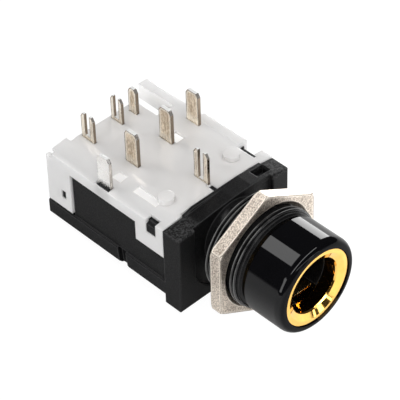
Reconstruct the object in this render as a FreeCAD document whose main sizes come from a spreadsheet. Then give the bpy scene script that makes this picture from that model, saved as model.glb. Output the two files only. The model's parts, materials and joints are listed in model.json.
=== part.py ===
import FreeCAD
import Part
import Sketcher
import math
import os

# Board-mounting audio jack socket, modelled lying down with its terminals upwards.
# Frame: X across the flange, Y along the plug axis with the nose towards -Y, Z up the terminals.
# The origin is on the plug axis, in the plane of the flange's front face. Millimetres throughout.

doc = FreeCAD.newDocument("jack_socket")
sheet = doc.addObject("Spreadsheet::Sheet", "Dims")
sheetNames = []


class Size:
    # A number together with the sheet expression that gives it.

    def __init__(self, value, text):
        self.value = value
        self.text = text

    def __add__(self, other):
        other = asSize(other)
        return Size(self.value + other.value, "(" + self.text + " + " + other.text + ")")

    def __sub__(self, other):
        other = asSize(other)
        return Size(self.value - other.value, "(" + self.text + " - " + other.text + ")")

    def __mul__(self, factor):
        return Size(self.value * factor, "(" + self.text + " * " + repr(round(factor, 9)) + ")")

    def __neg__(self):
        return self * -1.0


def asSize(number):
    if isinstance(number, Size):
        return number
    return Size(float(number), repr(round(float(number), 9)))


def size(alias, value):
    sheetNames.append(alias)
    row = str(len(sheetNames))
    sheet.set("A" + row, alias)
    sheet.set("B" + row, repr(value))
    sheet.setAlias("B" + row, alias)
    return Size(value, "Dims." + alias)


# Flange and body
flangeHalf = size("flangeHalfWidth", 8.1)
flangeDeep = size("flangeThickness", 2.4)
flangeLow = size("flangeBottom", -6.4)
flangeEdge = size("flangeTopAtEdge", 3.9)
crownLeft = size("crownStepX", -3.8)
crownTop = size("crownTop", 4.42)
crownRight = size("crownRightX", 3.0)
stopRear = size("coverStopRear", 2.65)
coreHalf = size("coreHalfWidth", 7.58)
panelHalf = size("panelHalfWidth", 7.85)
panelNear = size("panelFront", 6.9)
panelFar = size("panelRear", 16.95)
panelTop = size("panelTop", 2.45)
bodyRear = size("bodyRear", 21.1)
rearTop = size("rearWallTop", 2.6)
bodyLow = size("bodyBottom", -5.6)
wallTop = size("wallTop", 3.58)
cavityHalf = size("cavityHalfWidth", 6.6)
cavityFront = size("cavityFront", 3.5)
cavityRear = size("cavityRear", 19.9)
cavityLow = size("cavityFloor", -4.6)
stripTop = size("stripTop", -3.35)
stripLow = size("stripBottom", -5.5)
channelNear = size("channelFront", 8.6)
channelFar = size("channelRear", 9.9)
recessHalf = size("recessHalfWidth", 5.75)
recessArc = size("recessArcRadius", 6.45)
recessDeep = size("recessDepth", 0.45)
flangeRound = size("flangeEdgeRadius", 0.18)

# Collar, bore and nose
boreR = size("boreRadius", 3.25)
neckR = size("neckRadius", 4.0)
collarR = size("collarCoreRadius", 5.62)
collarBack = size("collarBack", -1.3)
collarFront = size("collarFront", -6.4)
tubeR = size("noseTubeRadius", 3.95)
tubeFront = size("noseTubeFront", -9.9)
slotLeft = size("springSlotLeft", -0.8)
slotRight = size("springSlotRight", 2.1)
slotLow = size("springSlotBottom", -4.25)
bushFront = size("bushFront", -12.0)
bushR = size("bushRadius", 4.6)
bushInnerR = size("bushTubeInnerRadius", 4.0)
bushFlatR = size("bushFlatInnerRadius", 4.07)
bushBack = size("bushBack", -6.45)
ferruleR = size("ferruleRadius", 5.65)
ferruleBoreR = size("ferruleBoreRadius", 4.65)
ferruleFront = size("ferruleFront", -12.15)
ferruleBack = size("ferruleBack", -6.9)
noseRound = size("noseEdgeRadius", 0.9)

# Panel nut
nutFlats = size("nutHalfAcrossFlats", 6.93)
nutFront = size("nutFront", -4.87)
nutBack = size("nutBack", -3.37)
nutBoreR = size("nutBoreRadius", 5.67)
nutSinkR = size("nutCountersinkRadius", 6.25)

# Cover
coverFront = size("coverFront", 2.45)
coverInset = size("coverMiddleFront", 2.7)
coverRear = size("coverPlateRear", 19.7)
coverBlockRear = size("coverBlockRear", 20.5)
tabRear = size("coverTabRear", 20.85)
barRear = size("coverBarRear", 21.85)
coverTop = size("coverTop", 4.36)
coverUnder = size("coverUnderside", 3.6)
coverEdge = size("coverTopAtLeftEdge", 3.85)
coverRightEdge = size("coverTopAtRightEdge", 4.05)
shoulderX = size("coverShoulderX", 4.45)
skirtIn = size("skirtInside", 7.6)
skirtLow = size("skirtBottom", 2.5)
notchLeft = size("rearNotchLeft", 4.0)
notchNear = size("rearNotchFront", 16.1)
barLeft = size("barLeft", 6.5)
barRight = size("barRight", 7.85)
barLow = size("barBottom", 2.1)
bossR = size("bossRadius", 0.92)
bossTop = size("bossTop", 4.9)
bossX = size("bossX", 4.8)
bossY = size("bossY", 5.3)

# Terminals and contact springs
bladeHalf = size("bladeHalfThickness", 0.2)
forkBladeHalf = size("forkedBladeHalfThickness", 0.15)
slotGap = size("terminalSlotGap", 0.06)
shoulder = size("terminalShoulder", 0.3)
shoulderTop = size("terminalShoulderTop", 3.55)
tipInset = size("terminalTipInset", 0.32)
tipSlope = size("terminalTipSlope", 0.5)
forkHalf = size("forkHalfGap", 0.37)
leafThick = size("leafThickness", 0.25)
leafHalf = size("leafHalfWidth", 1.2)
sleeveLeft = size("sleeveLeafLeft", -0.6)
sleeveRight = size("sleeveLeafRight", 1.9)
yokeR = size("yokeHoleRadius", 3.3)

# One row a terminal: node, sheet word, centre X, near Y, far Y, lower end, tip, fork depth.
bladeRows = [
    ("terminal_rear_left", "rearLeft", -3.9, 17.4, 19.4, 0.6, 7.7, 2.9),
    ("terminal_rear_mid", "rearMid", 0.4, 17.6, 19.4, 3.36, 7.65, 2.9),
    ("terminal_rear_right", "rearRight", 2.7, 17.75, 19.0, 2.4, 7.65, 0.0),
    ("terminal_right", "right", 6.2, 11.6, 13.5, -1.2, 8.5, 0.0),
    ("terminal_mid_right", "midRight", 1.95, 11.35, 13.25, 3.0, 8.7, 0.0),
    ("terminal_mid_left", "midLeft", -3.2, 11.15, 13.1, 1.7, 8.6, 0.0),
    ("terminal_left", "left", -7.37, 11.0, 12.9, 2.7, 7.85, 0.0),
    ("terminal_front", "front", 0.1, 3.9, 6.0, 3.36, 8.3, 3.8),
]
blades = {}
for node, word, mid, near, far, low, tip, fork in bladeRows:
    blades[node] = {
        "mid": size(word + "Mid", mid),
        "near": size(word + "Near", near),
        "far": size(word + "Far", far),
        "low": size(word + "Low", low),
        "tip": size(word + "Tip", tip),
        "fork": size(word + "Fork", fork),
        "half": forkBladeHalf if fork > 0 else bladeHalf,
    }
doc.recompute()

planeOf = {"x": "YZ_Plane", "y": "XZ_Plane", "z": "XY_Plane"}


def newBody(name):
    body = doc.addObject("PartDesign::Body", name)
    body.Label = name
    return body


def newSketch(body, name, axis, at):
    sketch = body.newObject("Sketcher::SketchObject", name)
    plane = [f for f in body.Origin.OriginFeatures if f.Role == planeOf[axis]][0]
    sketch.AttachmentSupport = [(plane, "")]
    sketch.MapMode = "FlatFace"
    level = -asSize(at) if axis == "y" else asSize(at)
    sketch.setExpression("AttachmentOffset.Base.z", level.text)
    return sketch


def drawOutline(sketch, points):
    # A point is (a, b), or (a, b, middle a, middle b) where an arc leads on from it.
    count = len(points)
    corners = [(asSize(p[0]), asSize(p[1])) for p in points]
    places = [FreeCAD.Vector(c[0].value, c[1].value, 0) for c in corners]
    ends = []
    for i, point in enumerate(points):
        here = places[i]
        there = places[(i + 1) % count]
        if len(point) == 4:
            middle = FreeCAD.Vector(asSize(point[2]).value, asSize(point[3]).value, 0)
            turnsLeft = (middle - here).cross(there - middle).z > 0
            line = Part.Arc(here, middle, there) if turnsLeft else Part.Arc(there, middle, here)
            ends.append((1, 2) if turnsLeft else (2, 1))
        else:
            line = Part.LineSegment(here, there)
            ends.append((1, 2))
        sketch.addGeometry(line, False)
    for i in range(count):
        after = (i + 1) % count
        sketch.addConstraint(Sketcher.Constraint("Coincident", i, ends[i][1], after, ends[after][0]))
    for i in range(count):
        for kind, side in (("DistanceX", 0), ("DistanceY", 1)):
            place = corners[i][side]
            rule = Sketcher.Constraint(kind, -1, 1, i, ends[i][0], place.value)
            index = sketch.addConstraint(rule)
            if "Dims" in place.text:
                sketch.setExpression("Constraints[" + str(index) + "]", place.text)


def finish(body, feature, sign, before):
    body.Tip = feature
    doc.recompute()
    change = (body.Shape.Volume - before) * sign
    if change <= 1e-6:
        raise RuntimeError(feature.Name + " changes nothing")
    return feature


def volumeOf(body):
    return body.Shape.Volume if body.Tip else 0.0


def block(body, name, axis, points, low, high):
    # A solid of the given outline between two levels along the axis.
    before = volumeOf(body)
    sketch = newSketch(body, name + "Sketch", axis, high if axis == "y" else low)
    drawOutline(sketch, points)
    pad = body.newObject("PartDesign::Pad", name)
    pad.Profile = sketch
    pad.setExpression("Length", (asSize(high) - asSize(low)).text)
    return finish(body, pad, 1, before)


def cut(body, name, axis, points, low, high):
    # A cut of the given outline between two levels along the axis.
    before = volumeOf(body)
    sketch = newSketch(body, name + "Sketch", axis, low if axis == "y" else high)
    drawOutline(sketch, points)
    pocket = body.newObject("PartDesign::Pocket", name)
    pocket.Profile = sketch
    pocket.setExpression("Length", (asSize(high) - asSize(low)).text)
    return finish(body, pocket, -1, before)


def turned(body, name, points, groove=False):
    # A profile of (y, radius) points turned about the plug axis.
    before = volumeOf(body)
    sketch = newSketch(body, name + "Sketch", "x", 0.0)
    drawOutline(sketch, points)
    kind = "PartDesign::Groove" if groove else "PartDesign::Revolution"
    feature = body.newObject(kind, name)
    feature.Profile = sketch
    feature.ReferenceAxis = (sketch, ["H_Axis"])
    feature.Angle = 360.0
    return finish(body, feature, -1 if groove else 1, before)


def rounded(body, name, radius, chooses):
    # A fillet on every edge of the tip feature that the rule chooses.
    before = volumeOf(body)
    base = body.Tip
    names = []
    for i, edge in enumerate(base.Shape.Edges):
        if chooses(edge):
            names.append("Edge" + str(i + 1))
    fillet = body.newObject("PartDesign::Fillet", name)
    fillet.Base = (base, names)
    fillet.setExpression("Radius", radius.text)
    return finish(body, fillet, -1, before)


def rect(a0, a1, b0, b1):
    return [(a0, b0), (a1, b0), (a1, b1), (a0, b1)]


def mirrored(points):
    return [(-asSize(p[0]), p[1]) for p in points]


# Housing: flange, hollow body, threaded collar core and nose tube
housing = newBody("housing")
flangeOutline = [
    (-flangeHalf, flangeLow),
    (flangeHalf, flangeLow),
    (flangeHalf, flangeEdge),
    (6.3, crownTop - 0.22),
    (crownRight, crownTop),
    (0.2, crownTop - 0.02),
    (-5.6, flangeEdge + 0.05),
    (-flangeHalf, flangeEdge),
]
block(housing, "flange", "y", flangeOutline, 0.0, flangeDeep)
recessDrop = math.sqrt(recessArc.value ** 2 - recessHalf.value ** 2)
recessOutline = [
    (recessHalf, 6.0),
    (-recessHalf, 6.0),
    (-recessHalf, -recessDrop, 0.0, -recessArc),
    (recessHalf, -recessDrop),
]
cut(housing, "recess", "y", recessOutline, -0.1, recessDeep)


def onFrontFace(edge):
    return abs(edge.BoundBox.YMin) < 1e-4 and abs(edge.BoundBox.YMax) < 1e-4


rounded(housing, "flangeRounding", flangeRound, onFrontFace)
stopOutline = [
    (crownLeft - 1.4, 3.4),
    (6.3, 3.4),
    (6.3, crownTop - 0.22),
    (crownRight, crownTop),
    (0.2, crownTop - 0.01),
    (crownLeft, crownTop - 0.04),
    (crownLeft - 1.4, flangeEdge + 0.06),
]
block(housing, "coverStop", "y", stopOutline, flangeDeep - 0.15, stopRear)
block(housing, "core", "y", rect(-coreHalf, coreHalf, bodyLow, wallTop), flangeDeep - 0.3, bodyRear)
for mark in ("Right", "Left"):
    stripOutline = [
        (coreHalf - 0.2, stripLow),
        (flangeHalf - 0.35, stripLow),
        (flangeHalf, stripLow + 0.35),
        (flangeHalf, stripTop - 0.12),
        (flangeHalf - 0.12, stripTop),
        (coreHalf - 0.2, stripTop),
    ]
    panelOutline = rect(coreHalf - 0.2, panelHalf, stripTop - 0.3, panelTop)
    apronOutline = rect(coreHalf - 0.2, panelHalf, stripTop - 0.3, 0.0)
    if mark == "Left":
        stripOutline = mirrored(stripOutline)
        panelOutline = mirrored(panelOutline)
        apronOutline = mirrored(apronOutline)
    block(housing, "strip" + mark, "y", stripOutline, flangeDeep - 0.3, bodyRear)
    block(housing, "panel" + mark, "y", panelOutline, panelNear, panelFar)
    block(housing, "apron" + mark, "y", apronOutline, flangeDeep - 0.3, panelNear + 0.1)
channelOutline = [
    (channelNear, stripTop + 0.01),
    (channelFar, stripTop + 0.01),
    (channelFar - 0.35, bodyLow - 0.1),
    (channelNear - 1.6, bodyLow - 0.1),
    (channelNear - 0.25, stripLow + 0.45),
]
cut(housing, "channelRight", "x", channelOutline, coreHalf - 0.1, flangeHalf + 0.1)
cut(housing, "channelLeft", "x", channelOutline, -flangeHalf - 0.1, -coreHalf + 0.1)
cut(housing, "rightTabSeat", "x", rect(7.9, 12.1, 0.0, 2.6), coreHalf, flangeHalf)
cut(housing, "pocket", "z", rect(4.45, 6.4, 1.0, 2.2), 3.0, 5.0)
collarProfile = [
    (recessDeep + 0.3, 0.0),
    (recessDeep + 0.3, neckR),
    (collarBack, neckR),
    (collarBack, collarR - 0.25),
    (collarBack - 0.25, collarR),
    (collarFront + 0.25, collarR),
    (collarFront, collarR - 0.25),
    (collarFront, tubeR),
    (tubeFront, tubeR),
    (tubeFront, 0.0),
]
turned(housing, "collar", collarProfile)
cut(housing, "cavity", "z", rect(-cavityHalf, cavityHalf, cavityFront, cavityRear), cavityLow, 6.0)
boreProfile = rect(tubeFront - 0.2, cavityFront + 0.2, 0.0, boreR)
turned(housing, "bore", boreProfile, groove=True)
cut(housing, "springSlot", "y", rect(slotLeft, slotRight, slotLow, -2.0), tubeFront - 0.2,
    cavityFront + 0.2)
cut(housing, "rearOpening", "y", rect(4.3, flangeHalf + 0.1, -0.6, 6.0), 15.9, bodyRear + 0.2)
cut(housing, "rearStep", "y", rect(-flangeHalf, flangeHalf, rearTop, 6.0), cavityRear, bodyRear + 0.2)
cut(housing, "sideOpening", "y", rect(6.52, flangeHalf + 0.1, 2.0, 6.0), 3.95, 6.15)
cut(housing, "leftLedge", "z", rect(-7.85, -6.5, 10.85, 13.1), 2.55, 6.0)
block(housing, "ledgeRib", "z", rect(-7.85, -7.62, 11.05, 12.85), panelTop - 0.2, 3.78)
block(housing, "sideRib", "z", rect(6.6, 6.84, 3.64, 5.3), 1.8, 4.16)
block(housing, "frontRib", "z", rect(-0.3, 0.14, stopRear - 0.2, cavityFront), wallTop - 0.2, 4.3)
cut(housing, "leftSlot", "z", rect(-7.15, -6.5, 10.85, 13.1), -1.3, 6.0)
frontCatch = [(-coreHalf + 0.2, 2.25), (-8.05, 2.25), (-8.05, 3.3), (-coreHalf + 0.2, 3.56)]
block(housing, "frontCatch", "y", frontCatch, 3.68, 4.95)
block(housing, "rearCatch", "x", rect(18.1, 18.6, -1.5, -0.6), -8.02, -coreHalf + 0.2)

# Bright bush in the nose, with a countersunk face and a tube over the housing's nose
bush = newBody("sleeve_bush")
bushProfile = [
    (bushFront, bushFlatR),
    (bushFront, bushR),
    (bushBack, bushR),
    (bushBack, bushInnerR),
    (tubeFront - 0.05, bushInnerR),
    (tubeFront - 0.05, boreR),
    (bushFront + 0.55, boreR),
    (bushFront + 0.36, 3.36),
]
turned(bush, "bushBody", bushProfile)

# Black ferrule round the bush
ferrule = newBody("nose_ferrule")
turnIn = math.sqrt(0.5)
ferruleProfile = [
    (ferruleFront, ferruleBoreR),
    (ferruleFront, ferruleR - noseRound, ferruleFront + noseRound * (1 - turnIn),
     ferruleR - noseRound * (1 - turnIn)),
    (ferruleFront + noseRound, ferruleR),
    (ferruleBack - 0.15, ferruleR),
    (ferruleBack, ferruleR - 0.15),
    (ferruleBack, ferruleBoreR),
]
turned(ferrule, "ferruleBody", ferruleProfile)

# Hexagonal panel nut with its corners turned off
nut = newBody("panel_nut")
across = 1.0 / math.cos(math.pi / 6)
hexagon = []
for step in range(6):
    angle = math.radians(30 + 60 * step)
    hexagon.append((nutFlats * (across * math.cos(angle)), nutFlats * (across * math.sin(angle))))
block(nut, "hexagon", "y", hexagon, nutFront, nutBack)
nutBoreProfile = [
    (nutFront - 0.1, 0.0),
    (nutFront - 0.1, nutSinkR + 0.1),
    (nutFront + (nutSinkR - nutBoreR), nutBoreR),
    (nutBack - 0.3, nutBoreR),
    (nutBack + 0.1, nutBoreR + 0.4),
    (nutBack + 0.1, 0.0),
]
turned(nut, "nutBore", nutBoreProfile, groove=True)
cornerSlope = math.tan(math.pi / 6)
cornerR = nutFlats + 0.8
frontCorner = [(nutFront - 0.1, cornerR - 0.17), (nutFront - 0.1, cornerR + 1.0),
               (nutFront + cornerSlope, cornerR + 1.0), (nutFront, cornerR)]
backCorner = [(nutBack + 0.1, cornerR - 0.17), (nutBack + 0.1, cornerR + 1.0),
              (nutBack - cornerSlope, cornerR + 1.0), (nutBack, cornerR)]
turned(nut, "frontCorners", frontCorner, groove=True)
turned(nut, "backCorners", backCorner, groove=True)

# Translucent cover with skirts, snap tabs, windows and the terminal slots
cover = newBody("contact_cover")
coverOutline = [
    (-flangeHalf, skirtLow),
    (-skirtIn, skirtLow),
    (-skirtIn, coverUnder),
    (skirtIn, coverUnder),
    (skirtIn, skirtLow),
    (flangeHalf, skirtLow),
    (flangeHalf, coverRightEdge),
    (shoulderX + 1.0, coverTop - 0.04),
    (shoulderX - 1.2, coverTop),
    (-shoulderX, coverTop),
    (-flangeHalf, coverEdge),
]
block(cover, "plate", "y", coverOutline, coverFront, coverBlockRear)
cut(cover, "rearEdge", "z", rect(-5.4, flangeHalf + 0.1, coverRear, coverBlockRear + 0.1), 2.0, 5.0)
cut(cover, "rearNotch", "z", rect(notchLeft, barLeft, notchNear, coverRear + 0.1), 2.0, 5.0)
block(cover, "rightBar", "y", rect(barLeft, barRight, barLow, coverRightEdge + 0.05), 16.9, barRear)
cut(cover, "barSide", "z", rect(barRight, flangeHalf + 0.1, 12.9, coverRear + 0.1), 2.0, 5.0)
rightEdge = [(6.2, 3.7), (12.9, 3.7), (12.65, coverRightEdge + 0.15), (6.2, coverRightEdge + 0.15)]
block(cover, "rightEdge", "x", rightEdge, 6.9, flangeHalf)
block(cover, "rearLip", "y", rect(-3.3, notchLeft - 0.1, rearTop + 0.1, coverUnder + 0.1), 19.45, coverRear)
cut(cover, "middleFront", "z", rect(crownLeft - 1.46, 6.36, coverFront - 0.1, coverInset), 3.0, 5.0)
cut(cover, "sideNotch", "z", rect(6.5, flangeHalf + 0.1, 3.95, 6.2), 2.0, 5.0)
block(cover, "frontTab", "x", rect(coverFront, 6.7, 0.05, skirtLow + 0.3), -flangeHalf, -skirtIn)
rearTab = [(17.1, -3.05), (tabRear + 0.1, -3.05), (tabRear, coverEdge - 0.5), (17.1, skirtLow + 0.3)]
block(cover, "rearTab", "x", rearTab, -flangeHalf, -skirtIn)
block(cover, "rightTab", "x", rect(8.0, 12.0, 0.05, skirtLow + 0.3), skirtIn, flangeHalf)
cut(cover, "rearCorner", "z", rect(-flangeHalf - 0.1, -7.45, 19.9, coverBlockRear + 0.1), coverEdge - 0.5, 5.0)
cut(cover, "frontWindow", "y", rect(-flangeHalf - 0.1, -7.2, 2.17, 5.0), 3.55, 5.05)
cut(cover, "rearWindow", "x", rect(18.0, 18.7, -1.6, -0.5), -flangeHalf - 0.1, -skirtIn + 0.1)
cut(cover, "ribSlot", "z", rect(6.5, 6.92, 3.56, 4.0), 3.0, 5.0)
cut(cover, "frontSlot", "z", rect(-0.36, 0.2, coverFront, 3.95), 3.0, 5.0)
cut(cover, "lugWindow", "z", rect(2.28, 3.6, 11.15, 12.7), 3.0, 5.0)
cut(cover, "longSink", "z", rect(-6.2, -5.3, 5.45, 8.95), 4.06, 5.0)
cut(cover, "shortSink", "z", rect(-6.2, -5.1, 10.9, 12.2), 4.06, 5.0)
for row in bladeRows:
    blade = blades[row[0]]
    left = blade["mid"] - blade["half"] - slotGap
    right = blade["mid"] + blade["half"] + slotGap
    near = blade["near"] - slotGap
    far = blade["far"] + slotGap
    if row[0] == "terminal_left":
        left = -flangeHalf + 0.15
        near = near - 0.05
        far = far + 0.1
    cut(cover, row[1] + "Slot", "z", rect(left, right, near, far), 2.0, 5.2)
for mark, place in (("Left", -bossX), ("Right", bossX)):
    before = volumeOf(cover)
    bossSketch = newSketch(cover, "boss" + mark + "Sketch", "z", 3.8)
    centre = FreeCAD.Vector(place.value, bossY.value, 0)
    bossSketch.addGeometry(Part.Circle(centre, FreeCAD.Vector(0, 0, 1), bossR.value), False)
    rules = [("DistanceX", (-1, 1, 0, 3), place), ("DistanceY", (-1, 1, 0, 3), bossY),
             ("Radius", (0,), bossR)]
    for kind, picks, rule in rules:
        index = bossSketch.addConstraint(Sketcher.Constraint(kind, *picks, rule.value))
        bossSketch.setExpression("Constraints[" + str(index) + "]", rule.text)
    boss = cover.newObject("PartDesign::Pad", "boss" + mark)
    boss.Profile = bossSketch
    boss.setExpression("Length", (bossTop - 3.8).text)
    finish(cover, boss, 1, before)


# Terminals: flat blades with shoulders under the cover and chamfered or forked tips
def bladeOutline(blade, forked, wide):
    near = blade["near"]
    far = blade["far"]
    tip = blade["tip"]
    low = blade["low"]
    middle = (near + far) * 0.5
    points = []
    if wide:
        points += [(near - shoulder, low), (far + shoulder, low),
                   (far + shoulder, shoulderTop), (far, shoulderTop)]
    else:
        points += [(near, low), (far, low)]
    points += [(far, tip - tipSlope), (far - tipInset, tip)]
    if forked:
        root = tip - blade["fork"]
        points += [(middle + forkHalf, tip), (middle + forkHalf, root),
                   (middle - forkHalf, root), (middle - forkHalf, tip)]
    points += [(near + tipInset, tip), (near, tip - tipSlope)]
    if wide:
        points += [(near, shoulderTop), (near - shoulder, shoulderTop)]
    return points


bodies = {}
for row in bladeRows:
    blade = blades[row[0]]
    body = newBody(row[0])
    wide = row[0] not in ("terminal_left", "terminal_front", "terminal_mid_right", "terminal_rear_mid")
    outline = bladeOutline(blade, row[7] > 0, wide)
    block(body, row[1] + "Blade", "x", outline, blade["mid"] - blade["half"], blade["mid"] + blade["half"])
    bodies[row[0]] = body

# Lug and strap that carry the tip contact
midRight = bodies["terminal_mid_right"]
block(midRight, "lug", "y", rect(1.9, 4.05, 3.05, 3.5), 11.4, 12.65)
block(midRight, "lugTop", "y", rect(2.34, 3.54, 3.3, 4.08), 11.4, 12.64)
block(midRight, "tipStrap", "x", rect(11.4, 12.05, -1.2, 3.2), 3.8, 4.05)

# Web and strap that carry the ring contact
midLeft = bodies["terminal_mid_left"]
block(midLeft, "ringStrap", "x", rect(12.05, 13.0, -1.2, 2.1), -3.9, -3.39)

# Inner leg of the side terminal
leftBody = bodies["terminal_left"]
block(leftBody, "web", "y", rect(-7.5, -6.65, 2.7, 3.1), 11.0, 12.9)
block(leftBody, "innerLeg", "x", rect(11.0, 12.9, -1.1, 3.0), -7.05, -6.65)

# Yoke round the bore that carries the sleeve contact
frontBody = bodies["terminal_front"]
front = blades["terminal_front"]
block(frontBody, "yokeBridge", "x", rect(3.6, 4.2, 3.36, 3.55), front["mid"] - forkBladeHalf,
      front["mid"] + forkBladeHalf)
block(frontBody, "yoke", "y", rect(-4.6, 4.6, -4.5, 3.55), 3.58, 3.88)
turned(frontBody, "yokeHole", rect(3.4, 4.0, 0.0, yokeR), groove=True)


# Bent contact springs: each lies along the bore, with a rounded root that its hinge runs through
def strip(points, shift, bulge):
    # Closes a bent line into a strip by going back along it moved over by the shift.
    moved = [(asSize(a) + shift[0], asSize(b) + shift[1]) for a, b in points]
    root = points[0]
    middle = (asSize(root[0]) + shift[0] * 0.5 + bulge[0], asSize(root[1]) + shift[1] * 0.5 + bulge[1])
    return points + moved[:0:-1] + [moved[0] + middle]


def leaf(name, axis, points, shift, bulge, low, high):
    body = newBody(name)
    block(body, name + "Strip", axis, strip(points, shift, bulge), low, high)
    return body


nothing = asSize(0.0)
rootRound = leafThick * 0.5
tipLine = [(3.8, 12.25), (3.8, 12.9), (2.34, 16.6), (2.34, 17.0), (3.1, 18.2)]
leaf("tip_leaf", "z", tipLine, (leafThick, nothing), (nothing, -rootRound), -leafHalf, leafHalf)
ringLine = [(-3.65, 11.85), (-3.65, 11.2), (-2.34, 6.8), (-2.34, 6.4), (-3.1, 4.6)]
leaf("ring_leaf", "z", ringLine, (-leafThick, nothing), (nothing, rootRound), -leafHalf, leafHalf)
sleeveLine = [(3.35, -3.6), (2.4, -3.6), (-8.2, -2.33), (-8.6, -2.33), (-9.4, -2.5)]
leaf("sleeve_leaf", "x", sleeveLine, (nothing, -leafThick), (rootRound, nothing), sleeveLeft, sleeveRight)

# Fixed switch contacts outside the tip and ring springs
tipSwitch = newBody("tip_switch")
block(tipSwitch, "tipSwitchArm", "z", rect(4.9, 5.15, 12.6, 17.9), -1.0, 1.0)
block(tipSwitch, "tipSwitchFoot", "z", rect(5.1, 5.99, 12.6, 13.2), -1.0, 1.0)
ringSwitch = newBody("ring_switch")
block(ringSwitch, "ringSwitchArm", "z", rect(-5.15, -4.9, 4.9, 11.7), -1.0, 1.0)
block(ringSwitch, "ringSwitchFoot", "z", rect(-6.64, -5.1, 11.1, 11.7), -1.0, 1.0)

# Check every object, then write one STEP file for each body
doc.recompute()
for item in doc.Objects:
    if "Invalid" in item.State or "Error" in item.State:
        raise RuntimeError(item.Name + " did not build")
os.makedirs("parts", exist_ok=True)
for item in doc.Objects:
    if item.TypeId != "PartDesign::Body":
        continue
    shape = item.Shape
    if shape.isNull() or not shape.isValid() or len(shape.Solids) != 1:
        raise RuntimeError(item.Label + " is not one valid solid")
    shape.exportStep("parts/" + item.Label + ".step")
    print(item.Label, round(shape.Volume, 2), "mm3")
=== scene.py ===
import bpy
import json
import math
from mathutils import Matrix, Vector


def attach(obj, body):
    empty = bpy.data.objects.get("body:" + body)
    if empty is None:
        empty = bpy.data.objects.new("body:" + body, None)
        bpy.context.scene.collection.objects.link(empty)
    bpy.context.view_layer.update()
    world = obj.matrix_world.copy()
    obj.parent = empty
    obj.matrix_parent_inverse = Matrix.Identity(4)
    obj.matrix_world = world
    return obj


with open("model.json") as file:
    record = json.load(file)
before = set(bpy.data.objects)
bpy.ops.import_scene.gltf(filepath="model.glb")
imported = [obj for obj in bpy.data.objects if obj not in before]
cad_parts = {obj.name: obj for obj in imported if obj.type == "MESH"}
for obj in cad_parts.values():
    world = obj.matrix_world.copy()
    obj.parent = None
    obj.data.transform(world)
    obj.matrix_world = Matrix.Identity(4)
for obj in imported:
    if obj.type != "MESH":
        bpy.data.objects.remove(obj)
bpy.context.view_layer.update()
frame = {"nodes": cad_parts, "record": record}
print("frame loaded")

mm = 0.001
black = (0, 0, 0, 1)


# small helpers for node trees

def setInputs(node, values):
    for key, value in values.items():
        node.inputs[key].default_value = value
    return node


def newMaterial(name):
    mat = bpy.data.materials.new(name)
    mat.use_nodes = True
    tree = mat.node_tree
    tree.nodes.clear()
    out = tree.nodes.new("ShaderNodeOutputMaterial")
    shader = tree.nodes.new("ShaderNodeBsdfPrincipled")
    tree.links.new(shader.outputs["BSDF"], out.inputs["Surface"])
    return mat, tree, shader


def addNode(tree, kind, values=None, **settings):
    node = tree.nodes.new(kind)
    for key, value in settings.items():
        setattr(node, key, value)
    return setInputs(node, values or {})


def addMath(tree, operation, a, b=None, clamp=False):
    node = addNode(tree, "ShaderNodeMath", operation=operation, use_clamp=clamp)
    for index, value in enumerate((a, b)):
        if value is None:
            continue
        if isinstance(value, (int, float)):
            node.inputs[index].default_value = value
        else:
            tree.links.new(value, node.inputs[index])
    return node.outputs[0]


def times(tree, a, b):
    return addMath(tree, "MULTIPLY", a, b)


def mixColour(tree, fac, a, b):
    node = addNode(tree, "ShaderNodeMix", data_type="RGBA")
    for name, value in (("Factor", fac), ("A", a), ("B", b)):
        socket = [s for s in node.inputs if s.name == name and s.enabled][0]
        if isinstance(value, (tuple, float, int)):
            socket.default_value = value
        else:
            tree.links.new(value, socket)
    return [s for s in node.outputs if s.enabled][0]


def mapRange(tree, value, fromLow, fromHigh, toLow=0.0, toHigh=1.0, smooth=True):
    node = addNode(tree, "ShaderNodeMapRange", interpolation_type="SMOOTHSTEP" if smooth else "LINEAR")
    tree.links.new(value, node.inputs["Value"])
    setInputs(node, {"From Min": fromLow, "From Max": fromHigh, "To Min": toLow, "To Max": toHigh})
    return node.outputs["Result"]


def ramp(tree, value, span, toLow=0.0, toHigh=1.0):
    # runs from one value to the other between two places in millimetres
    return mapRange(tree, value, span[0] * mm, span[1] * mm, toLow, toHigh)


def spread(tree, noise, reach, toLow=0.0, toHigh=1.0):
    # stretches a noise about its middle, more sharply where the reach is small
    return mapRange(tree, noise, 0.5 - reach, 0.5 + reach, toLow, toHigh)


def newGroup(name, inputs, outputs, kind="ShaderNodeTree"):
    group = bpy.data.node_groups.new(name, kind)
    for label, socketKind, value in inputs:
        socket = group.interface.new_socket(label, in_out="INPUT", socket_type=socketKind)
        if value is not None:
            socket.default_value = value
    for label, socketKind in outputs:
        group.interface.new_socket(label, in_out="OUTPUT", socket_type=socketKind)
    return group, group.nodes.new("NodeGroupInput"), group.nodes.new("NodeGroupOutput")


def placeGroup(tree, group, values):
    node = tree.nodes.new("ShaderNodeGroup")
    node.node_tree = group
    return setInputs(node, values)


def axisValue(tree, axis, source="Object"):
    # X, Y or Z of a place on the piece in metres, or of the surface's direction where the source is Normal
    coords = addNode(tree, "ShaderNodeTexCoord")
    split = addNode(tree, "ShaderNodeSeparateXYZ")
    tree.links.new(coords.outputs[source], split.inputs[0])
    return split.outputs["XYZ".index(axis)]


grainNoise = {
    "fine": {"Detail": 3.0, "Roughness": 0.6},
    "broad": {"Scale": 420.0, "Detail": 3.0, "Roughness": 0.55},
    "height": 0.05,    # of the bump, in millimetres
}


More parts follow.
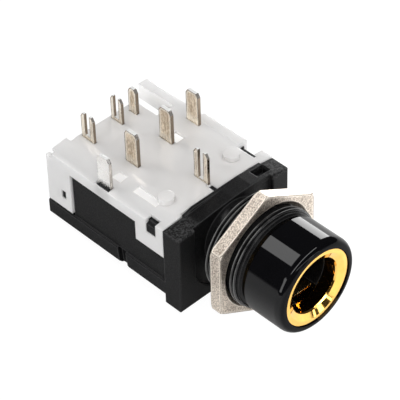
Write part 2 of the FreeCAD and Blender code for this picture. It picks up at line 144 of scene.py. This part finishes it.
def buildGrainGroup():
    # even speckle of moulded or rolled surfaces, sized in cells to the millimetre
    group, gin, gout = newGroup(
        "surfaceGrain",
        [("Cells", "NodeSocketFloat", 8.0), ("Depth", "NodeSocketFloat", 0.2),
         ("Edge Radius", "NodeSocketFloat", 0.1 * mm), ("Stretch Z", "NodeSocketFloat", 1.0)],
        [("Speckle", "NodeSocketFloat"), ("Broad", "NodeSocketFloat"), ("Normal", "NodeSocketVector")])
    link = group.links.new
    coords = addNode(group, "ShaderNodeTexCoord")
    stretch = addNode(group, "ShaderNodeCombineXYZ", {0: 1.0, 1: 1.0})
    link(gin.outputs["Stretch Z"], stretch.inputs[2])
    place = addNode(group, "ShaderNodeVectorMath", operation="MULTIPLY")
    link(coords.outputs["Object"], place.inputs[0])
    link(stretch.outputs[0], place.inputs[1])
    fine = addNode(group, "ShaderNodeTexNoise", grainNoise["fine"])
    link(place.outputs[0], fine.inputs["Vector"])
    link(times(group, gin.outputs["Cells"], 1 / mm), fine.inputs["Scale"])
    broad = addNode(group, "ShaderNodeTexNoise", grainNoise["broad"])
    link(place.outputs[0], broad.inputs["Vector"])
    edge = addNode(group, "ShaderNodeBevel", samples=4)
    link(gin.outputs["Edge Radius"], edge.inputs["Radius"])
    bump = addNode(group, "ShaderNodeBump", {"Distance": grainNoise["height"] * mm})
    link(gin.outputs["Depth"], bump.inputs["Strength"])
    link(fine.outputs["Fac"], bump.inputs["Height"])
    link(edge.outputs["Normal"], bump.inputs["Normal"])
    link(fine.outputs["Fac"], gout.inputs["Speckle"])
    link(broad.outputs["Fac"], gout.inputs["Broad"])
    link(bump.outputs["Normal"], gout.inputs["Normal"])
    return group


def buildEdgeLightGroup():
    # a mask that is 1 on a convex edge, for painted highlight and shade lines along the edges
    group, gin, gout = newGroup(
        "paintedEdgeLight",
        [("Width", "NodeSocketFloat", 0.12 * mm), ("Gain", "NodeSocketFloat", 3.0)],
        [("Mask", "NodeSocketFloat")])
    link = group.links.new
    edge = addNode(group, "ShaderNodeBevel", samples=6)
    link(gin.outputs["Width"], edge.inputs["Radius"])
    geometry = addNode(group, "ShaderNodeNewGeometry")
    dot = addNode(group, "ShaderNodeVectorMath", operation="DOT_PRODUCT")
    link(edge.outputs["Normal"], dot.inputs[0])
    link(geometry.outputs["Normal"], dot.inputs[1])
    away = addMath(group, "SUBTRACT", 1.0, dot.outputs["Value"])
    link(addMath(group, "MULTIPLY", away, gin.outputs["Gain"], clamp=True), gout.inputs["Mask"])
    return group


grainGroup = buildGrainGroup()
edgeLightGroup = buildEdgeLightGroup()


# In the looks below, grain is cells to the millimetre, depth and the rounding of edges in millimetres.
# A painted edge line, a highlight where pale and a shade line where dark, is its width in millimetres, its
# strength and its colour. Places are in millimetres.

def placeGrain(tree, grain, stretch=1.0):
    cells, depth, radius = grain
    return placeGroup(tree, grainGroup, {"Cells": cells, "Depth": depth, "Edge Radius": radius * mm,
                                         "Stretch Z": stretch})


def paintEdgeLight(tree, base, paintedEdges):
    # paints highlight and shade lines along the edges into the colour
    for width, strength, colour in paintedEdges:
        mask = placeGroup(tree, edgeLightGroup, {"Width": width * mm, "Gain": strength}).outputs["Mask"]
        base = mixColour(tree, mask, base, colour)
    return base


def grainRoughness(tree, shader, noise, roughness):
    low, high = roughness
    tree.links.new(spread(tree, noise, 0.2, low, high), shader.inputs["Roughness"])


housingLook = {
    "grain": (8.0, 0.3, 0.16),
    "tone": (0.35, 0.7),    # part of the speckle that goes from dark to pale
    "dark": (0.0035, 0.0035, 0.004, 1),
    "pale": (0.017, 0.017, 0.0175, 1),
    "corner": (4.2, 5.4),    # how far out the flange turns coarse
    "upper": (3.5, 3.85),    # height from which the grit shows
    "grit": (4.2, 0.0, 0.1),
    "fleck": (0.44, 0.62),
    # pale flecks of the coarse corners: real coarse texture, partly a painted sheen
    "coarse": (0.055, 0.055, 0.056, 1),
    # painted highlight line along the housing's edges
    "paintedEdges": [(0.2, 15.0, (0.055, 0.055, 0.056, 1))],
    "collar": (0.3, -0.4),    # where the flange ends and the collar starts, along Y
    "roughness": (0.4, 0.55, 0.2),    # smooth faces, coarse corners, collar
    "specular": 0.11,
}


def makeHousingBlack():
    look = housingLook
    mat, tree, shader = newMaterial("housingBlack")
    grain = placeGrain(tree, look["grain"])
    tone = mapRange(tree, grain.outputs["Speckle"], *look["tone"])
    plain = mixColour(tree, tone, look["dark"], look["pale"])
    # the flange's top corners are coarser than its smooth middle, and their pale flecks also paint the sheen
    # those corners catch
    corner = ramp(tree, addMath(tree, "ABSOLUTE", axisValue(tree, "X")), look["corner"])
    upper = ramp(tree, axisValue(tree, "Z"), look["upper"])
    fleck = mapRange(tree, placeGrain(tree, look["grit"]).outputs["Speckle"], *look["fleck"])
    gritAndSheen = times(tree, fleck, times(tree, corner, upper))
    base = paintEdgeLight(tree, mixColour(tree, gritAndSheen, plain, look["coarse"]), look["paintedEdges"])
    tree.links.new(base, shader.inputs["Base Color"])
    smooth, coarse, threaded = look["roughness"]
    rough = mapRange(tree, corner, 0.0, 1.0, smooth, coarse)
    change = times(tree, ramp(tree, axisValue(tree, "Y"), look["collar"]), threaded - smooth)
    tree.links.new(addMath(tree, "ADD", rough, change), shader.inputs["Roughness"])
    tree.links.new(grain.outputs["Normal"], shader.inputs["Normal"])
    setInputs(shader, {"Specular IOR Level": look["specular"]})
    return mat


ferruleLook = {
    "grain": (2.0, 0.006, 0.06),
    "dark": (0.0025, 0.0025, 0.003, 1),
    "pale": (0.004, 0.004, 0.005, 1),
    "roughness": (0.035, 0.06),
    "gloss": (0.56, 0.2),    # polished barrel, duller front lip
    "lip": (-11.7, -12.05),    # where the barrel turns into the lip, along Y
    "coatRoughness": 0.045,
}


def makeFerruleBlack():
    look = ferruleLook
    mat, tree, shader = newMaterial("ferruleBlack")
    grain = placeGrain(tree, look["grain"])
    base = mixColour(tree, grain.outputs["Broad"], look["dark"], look["pale"])
    tree.links.new(base, shader.inputs["Base Color"])
    grainRoughness(tree, shader, grain.outputs["Broad"], look["roughness"])
    tree.links.new(grain.outputs["Normal"], shader.inputs["Normal"])
    gloss = ramp(tree, axisValue(tree, "Y"), look["lip"], *look["gloss"])
    tree.links.new(gloss, shader.inputs["Coat Weight"])
    # the coat alone carries the lamps' images
    setInputs(shader, {"Coat Roughness": look["coatRoughness"], "Specular IOR Level": 0.0})
    return mat


threadLook = {
    "grain": (3.0, 0.05, 0.03),
    "dark": (0.006, 0.006, 0.0065, 1),
    # painted highlight on the thread's crests
    "crest": (0.22, 0.22, 0.215, 1),
    "top": (5.83, 5.93),    # radius where the painted crest highlight starts
    "broken": (0.34, 0.52),    # part of the broad grain that breaks the painted crest highlight up
    "least": 0.2,    # brightness left where it is broken
    "roughness": 0.26,
}


def makeThreadBlack():
    # moulded thread with thin painted highlights on its crests
    look = threadLook
    mat, tree, shader = newMaterial("threadBlack")
    grain = placeGrain(tree, look["grain"])
    x, z = axisValue(tree, "X"), axisValue(tree, "Z")
    square = addMath(tree, "ADD", times(tree, x, x), times(tree, z, z))
    top = ramp(tree, addMath(tree, "SQRT", square), look["top"])
    broken = mapRange(tree, grain.outputs["Broad"], *look["broken"], look["least"], 1.0)
    base = mixColour(tree, times(tree, top, broken), look["dark"], look["crest"])
    tree.links.new(base, shader.inputs["Base Color"])
    tree.links.new(grain.outputs["Normal"], shader.inputs["Normal"])
    setInputs(shader, {"Roughness": look["roughness"]})
    return mat


# speckle is the share of the fine grain in the tone, and reach is its contrast
nutLook = {
    "name": "nutNickel",
    "grain": (5.5, 0.7, 0.14),
    "speckle": 0.75,
    "reach": 0.1,
    "dark": (0.33, 0.27, 0.22, 1),
    "pale": (0.90, 0.81, 0.71, 1),
    # painted highlight along the edges, then a painted dark shade line at them
    "paintedEdges": [(0.35, 160.0, (0.96, 0.89, 0.80, 1)), (0.14, 40.0, (0.30, 0.24, 0.18, 1))],
    "roughness": (0.34, 0.48),
}
bushLook = {
    "name": "bushGold",
    "grain": (4.0, 0.015, 0.05),
    "speckle": 0.2,
    "reach": 0.14,
    "dark": (0.95, 0.56, 0.12, 1),
    "pale": (1.0, 0.63, 0.17, 1),
    "paintedEdges": [],
    "roughness": (0.05, 0.09),
}
springLook = {
    "name": "springBronze",
    "grain": (5.0, 0.08, 0.05),
    "speckle": 0.3,
    "reach": 0.14,
    "dark": (0.60, 0.44, 0.22, 1),
    "pale": (0.84, 0.68, 0.40, 1),
    "paintedEdges": [],
    "roughness": (0.14, 0.24),
}
terminalLook = {
    "name": "terminalNickel",
    "grain": (4.0, 0.12, 0.08),
    "stretch": 0.4,
    "speckle": 0.5,
    "reach": 0.09,
    "dark": (0.40, 0.30, 0.20, 1),
    "pale": (1.0, 0.86, 0.68, 1),
    # a painted highlight margin inside a painted shade outline
    "paintedEdges": [(0.5, 300.0, (1.0, 0.94, 0.84, 1)), (0.2, 60.0, (0.20, 0.14, 0.10, 1))],
    "roughness": (0.16, 0.30),
    # painted highlight on the tops and the lug
    "paintedBright": (0.97, 0.97, 0.96, 1),
    # painted shade on the narrow side faces
    "cut": (0.30, 0.24, 0.18, 1),
    "foot": (1.0, 0.93, 0.80, 1),
    "root": (3.3, 4.2),    # heights of the lug and roots, painted bright and glowing, just below the cover's top
}
brightLook = {
    "name": "brightNickel",
    "grain": (4.0, 0.08, 0.08),
    "speckle": 0.3,
    "reach": 0.14,
    "dark": (0.80, 0.77, 0.74, 1),
    "pale": (0.97, 0.96, 0.94, 1),
    "paintedEdges": [],
    "roughness": (0.22, 0.34),
    # painted highlight and painted side shade, as on the other terminals
    "paintedBright": (0.97, 0.97, 0.96, 1),
    "cut": (0.62, 0.58, 0.54, 1),
    "foot": (0.98, 0.97, 0.95, 1),
    "root": (-1.0, 0.0),    # down in the body, where it isn't seen
}
bladeZones = {
    "foot": (5.6, 4.7),    # heights between which a blade grows paler towards its foot
    "footShare": 0.6,
    "cut": (0.6, 0.9),    # how squarely the narrow side faces face along Y, where painted shade darkens them
    "top": (0.35, 0.8),    # how squarely the tops face up, where a painted highlight brightens them
    "rootFade": (0.2, 0.1),    # below and above the tinned root
    "paintedBrightMetal": 0.15,
    "rootGlow": 0.3,    # painted glow on the roots, standing for light that the white cover lets through
}


def paintBlade(tree, shader, base, look):
    zones = bladeZones
    height = axisValue(tree, "Z")
    foot = times(tree, ramp(tree, height, zones["foot"]), zones["footShare"])
    base = mixColour(tree, foot, base, look["foot"])
    sideways = addMath(tree, "ABSOLUTE", axisValue(tree, "Y", "Normal"))
    # painted shade on the side faces
    base = mixColour(tree, mapRange(tree, sideways, *zones["cut"]), base, look["cut"])
    # the lug and roots glow with painted light, and the tops take a painted highlight
    low, high = look["root"]
    below, above = zones["rootFade"]
    root = times(tree, ramp(tree, height, (low - below, low)), ramp(tree, height, (high, high - above)))
    paintedBright = addMath(tree, "MAXIMUM", root, mapRange(tree, axisValue(tree, "Z", "Normal"), *zones["top"]))
    tree.links.new(mapRange(tree, paintedBright, 0.0, 1.0, 1.0, zones["paintedBrightMetal"]), shader.inputs["Metallic"])
    tree.links.new(mixColour(tree, root, black, look["paintedBright"]), shader.inputs["Emission Color"])
    setInputs(shader, {"Emission Strength": zones["rootGlow"]})
    return mixColour(tree, paintedBright, base, look["paintedBright"])


def makeMetal(look):
    mat, tree, shader = newMaterial(look["name"])
    grain = placeGrain(tree, look["grain"], look.get("stretch", 1.0))
    fine = spread(tree, grain.outputs["Speckle"], look["reach"])
    broad = spread(tree, grain.outputs["Broad"], 0.18)
    tone = addMath(tree, "ADD", times(tree, fine, look["speckle"]), times(tree, broad, 1.0 - look["speckle"]))
    base = paintEdgeLight(tree, mixColour(tree, tone, look["dark"], look["pale"]), look["paintedEdges"])
    setInputs(shader, {"Metallic": 1.0})
    if "root" in look:
        base = paintBlade(tree, shader, base, look)
    tree.links.new(base, shader.inputs["Base Color"])
    grainRoughness(tree, shader, grain.outputs["Speckle"], look["roughness"])
    tree.links.new(grain.outputs["Normal"], shader.inputs["Normal"])
    return mat


coverLook = {
    "grain": (2.5, 0.003, 0.14),
    # painted shade where the dark inside shows through the thin top
    "dark": (0.80, 0.785, 0.775, 1),
    "pale": (0.985, 0.965, 0.95, 1),
    "sides": (4.0, 7.4),    # from the painted shade in the middle of the thin top to the solid sides, across
    "sideShare": 0.75,
    "grainShare": 0.3,
    "roughness": (0.08, 0.10),
    "specular": 0.65,
    "scatter": 0.7,
    "scatterReach": 1.4,
    "through": 0.31,    # painted glow for the light that comes through the free bar at the rear and the thin floors of the sinks
    "throughColour": (1, 0.99, 0.98, 1),
    "bar": (5.9, 6.3),    # where the free bar starts, across
    "barSide": (-0.2, -0.9),    # how squarely the bar's lit side faces -X
    "sinkShare": 0.7,
    "sinkBlur": 0.04,
    "sinks": ({"X": (-6.2, -5.3), "Y": (5.45, 8.95), "Z": (4.0, 4.2)},
              {"X": (-6.2, -5.1), "Y": (10.9, 12.2), "Z": (4.0, 4.2)}),
}


def boxMask(tree, box, blur):
    # 1 inside a box in millimetres
    mask = 1.0
    for axis, (low, high) in box.items():
        value = axisValue(tree, axis)
        above = ramp(tree, value, (low - blur, low + blur))
        below = ramp(tree, value, (high + blur, high - blur))
        mask = times(tree, times(tree, above, below), mask)
    return mask


def makeCoverWhite():
    look = coverLook
    mat, tree, shader = newMaterial("coverWhite")
    grain = placeGrain(tree, look["grain"])
    # painted shade: the thin top is darkened where the dark springs under it show through, its solid sides
    # are not
    side = ramp(tree, addMath(tree, "ABSOLUTE", axisValue(tree, "X")), look["sides"], 0.0, look["sideShare"])
    tone = addMath(tree, "ADD", side, times(tree, grain.outputs["Broad"], look["grainShare"]), clamp=True)
    tree.links.new(mixColour(tree, tone, look["dark"], look["pale"]), shader.inputs["Base Color"])
    grainRoughness(tree, shader, grain.outputs["Speckle"], look["roughness"])
    tree.links.new(grain.outputs["Normal"], shader.inputs["Normal"])
    # painted glow on the bar's lit side and in the sinks
    paintedGlow = times(tree, mapRange(tree, axisValue(tree, "X", "Normal"), *look["barSide"]),
                ramp(tree, axisValue(tree, "X"), look["bar"]))
    for box in look["sinks"]:
        sink = times(tree, boxMask(tree, box, look["sinkBlur"]), look["sinkShare"])
        paintedGlow = addMath(tree, "MAXIMUM", paintedGlow, sink)
    tree.links.new(mixColour(tree, paintedGlow, black, look["throughColour"]), shader.inputs["Emission Color"])
    setInputs(shader, {"Specular IOR Level": look["specular"], "Emission Strength": look["through"],
                       "Subsurface Weight": look["scatter"], "Subsurface Radius": (1.0, 1.0, 1.0),
                       "Subsurface Scale": look["scatterReach"] * mm})
    return mat


finishes = {
    "housing_black": makeHousingBlack(),
    "ferrule_black": makeFerruleBlack(),
    "bush_gold": makeMetal(bushLook),
    "nut_nickel": makeMetal(nutLook),
    "terminal_nickel": makeMetal(terminalLook),
    "spring_bronze": makeMetal(springLook),
    "cover_white": makeCoverWhite(),
}
ownFinish = {"terminal_left": makeMetal(brightLook)}    # pieces that differ from the rest of their kind
for part in frame["record"]["subparts"]:
    node = frame["nodes"][part["node"]]
    node.data.materials.clear()
    node.data.materials.append(ownFinish.get(part["node"]) or finishes[part["material_slot"]])
print("finishes placed")


threadShape = {
    "pitch": 0.5,
    "core": 5.68,
    "crest": 5.95,
    "back": (-1.35, -3.2),    # from the flange to the nut, along Y
    "front": (-4.9, -6.15),    # from the nut to the ferrule
    "steps": 96,    # to the turn
    "fade": 0.08,    # share of the length over which an end thins out
    "thinnest": 0.05,
}


def buildThreadTree():
    number = "NodeSocketFloat"
    tree, gin, gout = newGroup(
        "collarThread",
        [("Core Radius", number, 0.0), ("Crest Radius", number, 0.0), ("Start", number, 0.0),
         ("Length", number, 0.0), ("Pitch", number, 0.0), ("Finish", "NodeSocketMaterial", None)],
        [("Geometry", "NodeSocketGeometry")], "GeometryNodeTree")
    link = tree.links.new

    turns = addMath(tree, "DIVIDE", gin.outputs["Length"], gin.outputs["Pitch"])
    spiral = addNode(tree, "GeometryNodeCurveSpiral", {"Resolution": threadShape["steps"]})
    link(turns, spiral.inputs["Rotations"])
    link(gin.outputs["Core Radius"], spiral.inputs["Start Radius"])
    link(gin.outputs["Core Radius"], spiral.inputs["End Radius"])
    link(gin.outputs["Length"], spiral.inputs["Height"])
    normal = addNode(tree, "GeometryNodeSetCurveNormal")
    normal.mode = "Z_UP"
    link(spiral.outputs["Curve"], normal.inputs["Curve"])

    # triangular ridge about the core radius, its point outwards, thinning out at both ends
    ridge = addNode(tree, "GeometryNodeCurvePrimitiveCircle", {"Resolution": 3}, mode="RADIUS")
    height = addMath(tree, "SUBTRACT", gin.outputs["Crest Radius"], gin.outputs["Core Radius"])
    link(height, ridge.inputs["Radius"])
    outward = addNode(tree, "GeometryNodeTransform", {"Rotation": (0, 0, math.radians(180))})
    link(ridge.outputs["Curve"], outward.inputs["Geometry"])
    along = addNode(tree, "GeometryNodeSplineParameter").outputs["Factor"]
    rise = mapRange(tree, along, 0.0, threadShape["fade"], smooth=False)
    fall = mapRange(tree, along, 1.0, 1.0 - threadShape["fade"], smooth=False)
    thin = addMath(tree, "MAXIMUM", addMath(tree, "MINIMUM", rise, fall), threadShape["thinnest"])
    sweep = addNode(tree, "GeometryNodeCurveToMesh", {"Fill Caps": True})
    link(normal.outputs["Curve"], sweep.inputs["Curve"])
    link(outward.outputs["Geometry"], sweep.inputs["Profile Curve"])
    link(thin, sweep.inputs["Scale"])

    # the spiral climbs Z, so it is laid along -Y
    move = addNode(tree, "GeometryNodeTransform", {"Rotation": (math.radians(90), 0, 0)})
    link(sweep.outputs["Mesh"], move.inputs["Geometry"])
    where = addNode(tree, "ShaderNodeCombineXYZ")
    link(gin.outputs["Start"], where.inputs["Y"])
    link(where.outputs[0], move.inputs["Translation"])
    whole = addNode(tree, "GeometryNodeRealizeInstances")
    link(move.outputs["Geometry"], whole.inputs["Geometry"])
    paint = addNode(tree, "GeometryNodeSetMaterial")
    link(whole.outputs["Geometry"], paint.inputs["Geometry"])
    link(gin.outputs["Finish"], paint.inputs["Material"])
    link(paint.outputs["Geometry"], gout.inputs["Geometry"])
    return tree


def addObject(name, data):
    item = bpy.data.objects.new(name, data)
    bpy.context.scene.collection.objects.link(item)
    return item


def runTree(tree, name, values, body):
    # grows a piece from a node tree and keeps it as a plain mesh
    host = addObject(name + "Host", bpy.data.meshes.new(name + "Host"))
    modifier = host.modifiers.new("grow", "NODES")
    modifier.node_group = tree
    for item in tree.interface.items_tree:
        if item.item_type == "SOCKET" and item.in_out == "INPUT" and item.name in values:
            modifier[item.identifier] = values[item.name]
    graph = bpy.context.evaluated_depsgraph_get()
    mesh = bpy.data.meshes.new_from_object(host.evaluated_get(graph), depsgraph=graph)
    bpy.data.objects.remove(host)
    mesh.name = name
    piece = addObject(name, mesh)
    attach(piece, body)
    return piece


threadTree = buildThreadTree()
threadBlack = makeThreadBlack()
for label in ("back", "front"):
    first, last = threadShape[label]
    values = {"Core Radius": threadShape["core"] * mm, "Crest Radius": threadShape["crest"] * mm,
              "Start": first * mm, "Length": (first - last) * mm, "Pitch": threadShape["pitch"] * mm,
              "Finish": threadBlack}
    ridge = runTree(threadTree, "thread_" + label, values, "socket")
    print("thread", label, len(ridge.data.polygons), "faces")


# the angles are in degrees, the distance and the shift of the aim to the right and up in millimetres
cameraPlace = {
    "turn": -43.02,
    "rise": 42.01,
    "roll": 1.69,
    "distance": 211.9,
    "aside": (3.70, -3.37),
    "lens": 180.0,
    "sensor": 36.0,
    "clip": (5.0, 5000.0),
}


def cameraFrame():
    turn, rise, roll = (math.radians(cameraPlace[k]) for k in ("turn", "rise", "roll"))
    back = Vector((math.sin(turn) * math.cos(rise), -math.cos(turn) * math.cos(rise), math.sin(rise)))
    level = Vector((math.cos(turn), math.sin(turn), 0))
    upright = back.cross(level)
    right = math.cos(roll) * level - math.sin(roll) * upright
    up = math.sin(roll) * level + math.cos(roll) * upright
    eye = back * cameraPlace["distance"] - right * cameraPlace["aside"][0] - up * cameraPlace["aside"][1]
    return right, up, back, eye * mm


def placeCamera():
    right, up, back, eye = cameraFrame()
    camera = addObject("camera", bpy.data.cameras.new("camera"))
    turn = Matrix((right, up, back)).transposed().to_4x4()
    camera.matrix_world = Matrix.Translation(eye) @ turn
    camera.data.lens = cameraPlace["lens"]
    camera.data.sensor_width = cameraPlace["sensor"]
    camera.data.clip_start, camera.data.clip_end = (place * mm for place in cameraPlace["clip"])
    bpy.context.scene.camera = camera


floorLook = {
    "half": 1600,
    "drop": -8.12,    # the nut's lowest corner is at this height
    "noseY": -4.12,    # and at this place along Y
    "slope": 5.6,
    "colour": (0.9, 0.9, 0.9, 1),
    "roughness": 0.9,
    "specular": 0.1,
    "glow": (0.04, 0.62),    # how much paler it gets from the far left to the near right
    "glowSpan": (-30, 50),
    "paper": 0.88,    # how far the floor seen by the camera is plain white paper
    "paperLight": 1.08,
}


def placeFloor():
    # the socket lies on the nut's lowest corner and its rear edge, so the floor is sloped to meet both
    look = floorLook
    slope = math.radians(look["slope"])
    half = look["half"] * mm
    corners = []
    for x, run in ((-half, -half), (half, -half), (half, half), (-half, half)):
        corners.append((x, look["noseY"] * mm + run * math.cos(slope),
                        look["drop"] * mm + run * math.sin(slope)))
    mesh = bpy.data.meshes.new("floor")
    mesh.from_pydata(corners, [], [(0, 1, 2, 3)])
    floor = addObject("floor", mesh)
    mat, tree, shader = newMaterial("paleFloor")
    setInputs(shader, {"Base Color": look["colour"], "Roughness": look["roughness"],
                       "Specular IOR Level": look["specular"], "Emission Color": (1, 1, 1, 1)})
    nearRight = addMath(tree, "SUBTRACT", axisValue(tree, "X"), axisValue(tree, "Y"))
    glow = ramp(tree, nearRight, look["glowSpan"], *look["glow"])
    tree.links.new(glow, shader.inputs["Emission Strength"])
    paper = addNode(tree, "ShaderNodeEmission", {"Strength": look["paperLight"]})
    seen = addNode(tree, "ShaderNodeLightPath").outputs["Is Camera Ray"]
    both = addNode(tree, "ShaderNodeMixShader")
    tree.links.new(times(tree, seen, look["paper"]), both.inputs[0])
    tree.links.new(shader.outputs["BSDF"], both.inputs[1])
    tree.links.new(paper.outputs["Emission"], both.inputs[2])
    tree.links.new(both.outputs["Shader"], tree.nodes["Material Output"].inputs["Surface"])
    mesh.materials.append(mat)


# each lamp hangs in a direction from the part, its width crossways and its height in line with Y
lampSettings = {
    "soft": {"towards": (0.05, -0.1, 1.0), "distance": 220, "size": (200, 200), "watts": 0.17,
             "glossy": False},    # kept out of the reflections
    "window": {"towards": (-0.226, 0.56, 0.795), "size": (97, 66), "watts": 0.088},
    "strip": {"towards": (0.812, 0.56, 0.215), "size": (88, 66), "watts": 0.16},
    "side": {"towards": (-0.93, -0.1, 0.30), "size": (100, 90), "watts": 0.115},
    "front": {"towards": (-0.075, -0.563, 0.805), "size": (260, 22), "watts": 0.16},
    "low": {"towards": (0.14, -0.95, 0.25), "size": (200, 14), "watts": 0.05},
    "cardLeft": {"towards": (0.52, -0.85, 0.02), "size": (60, 10), "watts": 0.006},
    "cardMid": {"towards": (0.36, -0.93, 0.02), "size": (60, 24), "watts": 0.016},
    "cardRight": {"towards": (0.10, -0.99, 0.02), "size": (60, 8), "watts": 0.005},
}
lampDistance = 200
surround = 0.04    # brightness of the room in the reflections


def placeLights():
    world = bpy.data.worlds.new("studio")
    bpy.context.scene.world = world
    world.use_nodes = True
    tree = world.node_tree
    seen = addNode(tree, "ShaderNodeLightPath").outputs["Is Camera Ray"]
    backdrop = setInputs(tree.nodes["Background"], {"Color": (1.0, 1.0, 1.0, 1)})
    tree.links.new(mapRange(tree, seen, 0.0, 1.0, surround, 1.0, smooth=False), backdrop.inputs["Strength"])
    for name, lamp in lampSettings.items():
        light = bpy.data.lights.new(name, "AREA")
        light.energy = lamp["watts"]
        light.shape = "RECTANGLE"
        light.size, light.size_y = (side * mm for side in lamp["size"])
        holder = addObject(name, light)
        holder.visible_glossy = lamp.get("glossy", True)
        towards = Vector(lamp["towards"]).normalized()
        across = Vector((0, 1, 0)).cross(towards).normalized()
        turn = Matrix((across, towards.cross(across), towards)).transposed().to_4x4()
        distance = lamp.get("distance", lampDistance)
        holder.matrix_world = Matrix.Translation(towards * distance * mm) @ turn


placeCamera()
placeFloor()
placeLights()
bpy.context.scene.view_settings.view_transform = "Standard"
print("camera, floor and lights placed")
